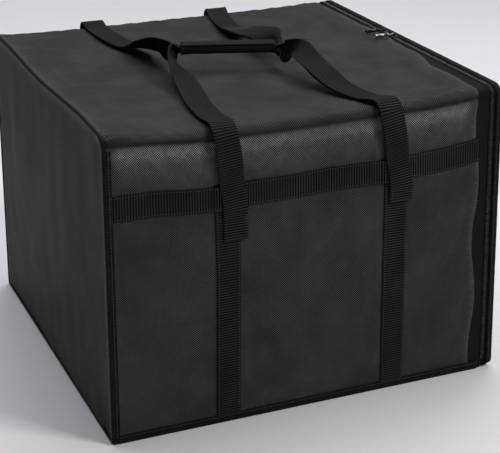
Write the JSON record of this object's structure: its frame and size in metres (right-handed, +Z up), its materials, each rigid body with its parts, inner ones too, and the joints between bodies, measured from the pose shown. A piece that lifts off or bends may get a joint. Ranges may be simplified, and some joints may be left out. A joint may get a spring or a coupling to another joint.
{
  "type": "insulated food carrier",
  "caption": "Soft box-shaped insulated carrier, foam walls with foil lining, zipped end door hinged along its bottom edge, webbing handles joined by a wrapped grip.",
  "frame": {"origin": "middle of the footprint, on the surface it stands on", "axes": "+Z up; -Y is the front face with the straps; +X is the zipped door end"},
  "size_m": [0.508, 0.5169, 0.4058],
  "materials": {
    "outer_fabric": "matte coated polyester with a fine diagonal emboss",
    "webbing": "matte ribbed polypropylene webbing",
    "binding": "satin folded binding tape",
    "foam": "closed-cell foam, matte",
    "foil": "metallised film, satin",
    "board": "rigid sheet, matte",
    "zip_tape": "woven tape, matte",
    "zip_coil": "moulded nylon, satin",
    "zip_metal": "plated zinc alloy, satin",
    "hook_loop": "hook-and-loop tape, matte"
  },
  "bodies": {
    "bag": {"wrap_panel": "outer_fabric", "left_side_panel": "outer_fabric", "bottom_panel": "outer_fabric", "door_hinge_strip": "outer_fabric", "front_foam": "foam", "back_foam": "foam", "top_foam": "foam", "left_foam": "foam", "bottom_foam": "foam", "base_board": "board", "front_liner": "foil", "back_liner": "foil", "top_liner": "foil", "left_liner": "foil", "bottom_liner": "foil", "left_seam_binding": "binding", "front_bottom_binding": "binding", "back_bottom_binding": "binding", "front_left_upright_strap": "webbing", "front_right_upright_strap": "webbing", "back_left_upright_strap": "webbing", "back_right_upright_strap": "webbing", "front_band": "webbing", "back_band": "webbing", "body_zip_tape": "zip_tape", "body_zip_coil": "zip_coil", "zip_end_stops": "zip_metal"},
    "door": {"door_panel": "outer_fabric", "door_gusset": "outer_fabric", "door_foam": "foam", "door_liner": "foil", "door_binding": "binding", "door_zip_tape": "zip_tape", "door_zip_coil": "zip_coil"},
    "front_slider": {"front_slider": "zip_metal"},
    "rear_slider": {"rear_slider": "zip_metal"},
    "front_pull": {"front_pull": "zip_metal"},
    "rear_pull": {"rear_pull": "zip_metal"},
    "handle": {"front_handle_strap": "webbing", "back_handle_strap": "webbing", "grip_sleeve": "outer_fabric", "grip_loop_patch": "hook_loop"},
    "grip_flap": {"grip_flap": "outer_fabric", "grip_hook_patch": "hook_loop"}
  },
  "joints": [
    {"name": "door_hinge", "type": "hinge", "parent": "bag", "child": "door", "pos_m": [0.254, 0, 0.00075], "axis": [0, 1, 0], "range_deg": [0, 90]},
    {"name": "front_slider_travel", "type": "slide", "parent": "bag", "child": "front_slider", "axis": [0, -1, 0], "range_m": [0, 0.23]},
    {"name": "rear_slider_travel", "type": "slide", "parent": "bag", "child": "rear_slider", "axis": [0, 1, 0], "range_m": [0, 0.18]},
    {"name": "front_pull_hinge", "type": "hinge", "parent": "front_slider", "child": "front_pull", "pos_m": [0.24, 0.011, 0.3758], "axis": [0, 1, 0], "range_deg": [0, 165]},
    {"name": "rear_pull_hinge", "type": "hinge", "parent": "rear_slider", "child": "rear_pull", "pos_m": [0.24, 0.038, 0.3758], "axis": [0, 1, 0], "range_deg": [0, 165]},
    {"name": "handle_lift", "type": "slide", "parent": "bag", "child": "handle", "axis": [0, 0, 1], "range_m": [0, 0.06], "deforming": ["front_handle_strap", "back_handle_strap"]},
    {"name": "grip_flap_hinge", "type": "hinge", "parent": "handle", "child": "grip_flap", "pos_m": [-0.01143, -0.01253, 0.3995], "axis": [-0.9455, 0.3256, 0], "range_deg": [0, 150]}
  ]
}
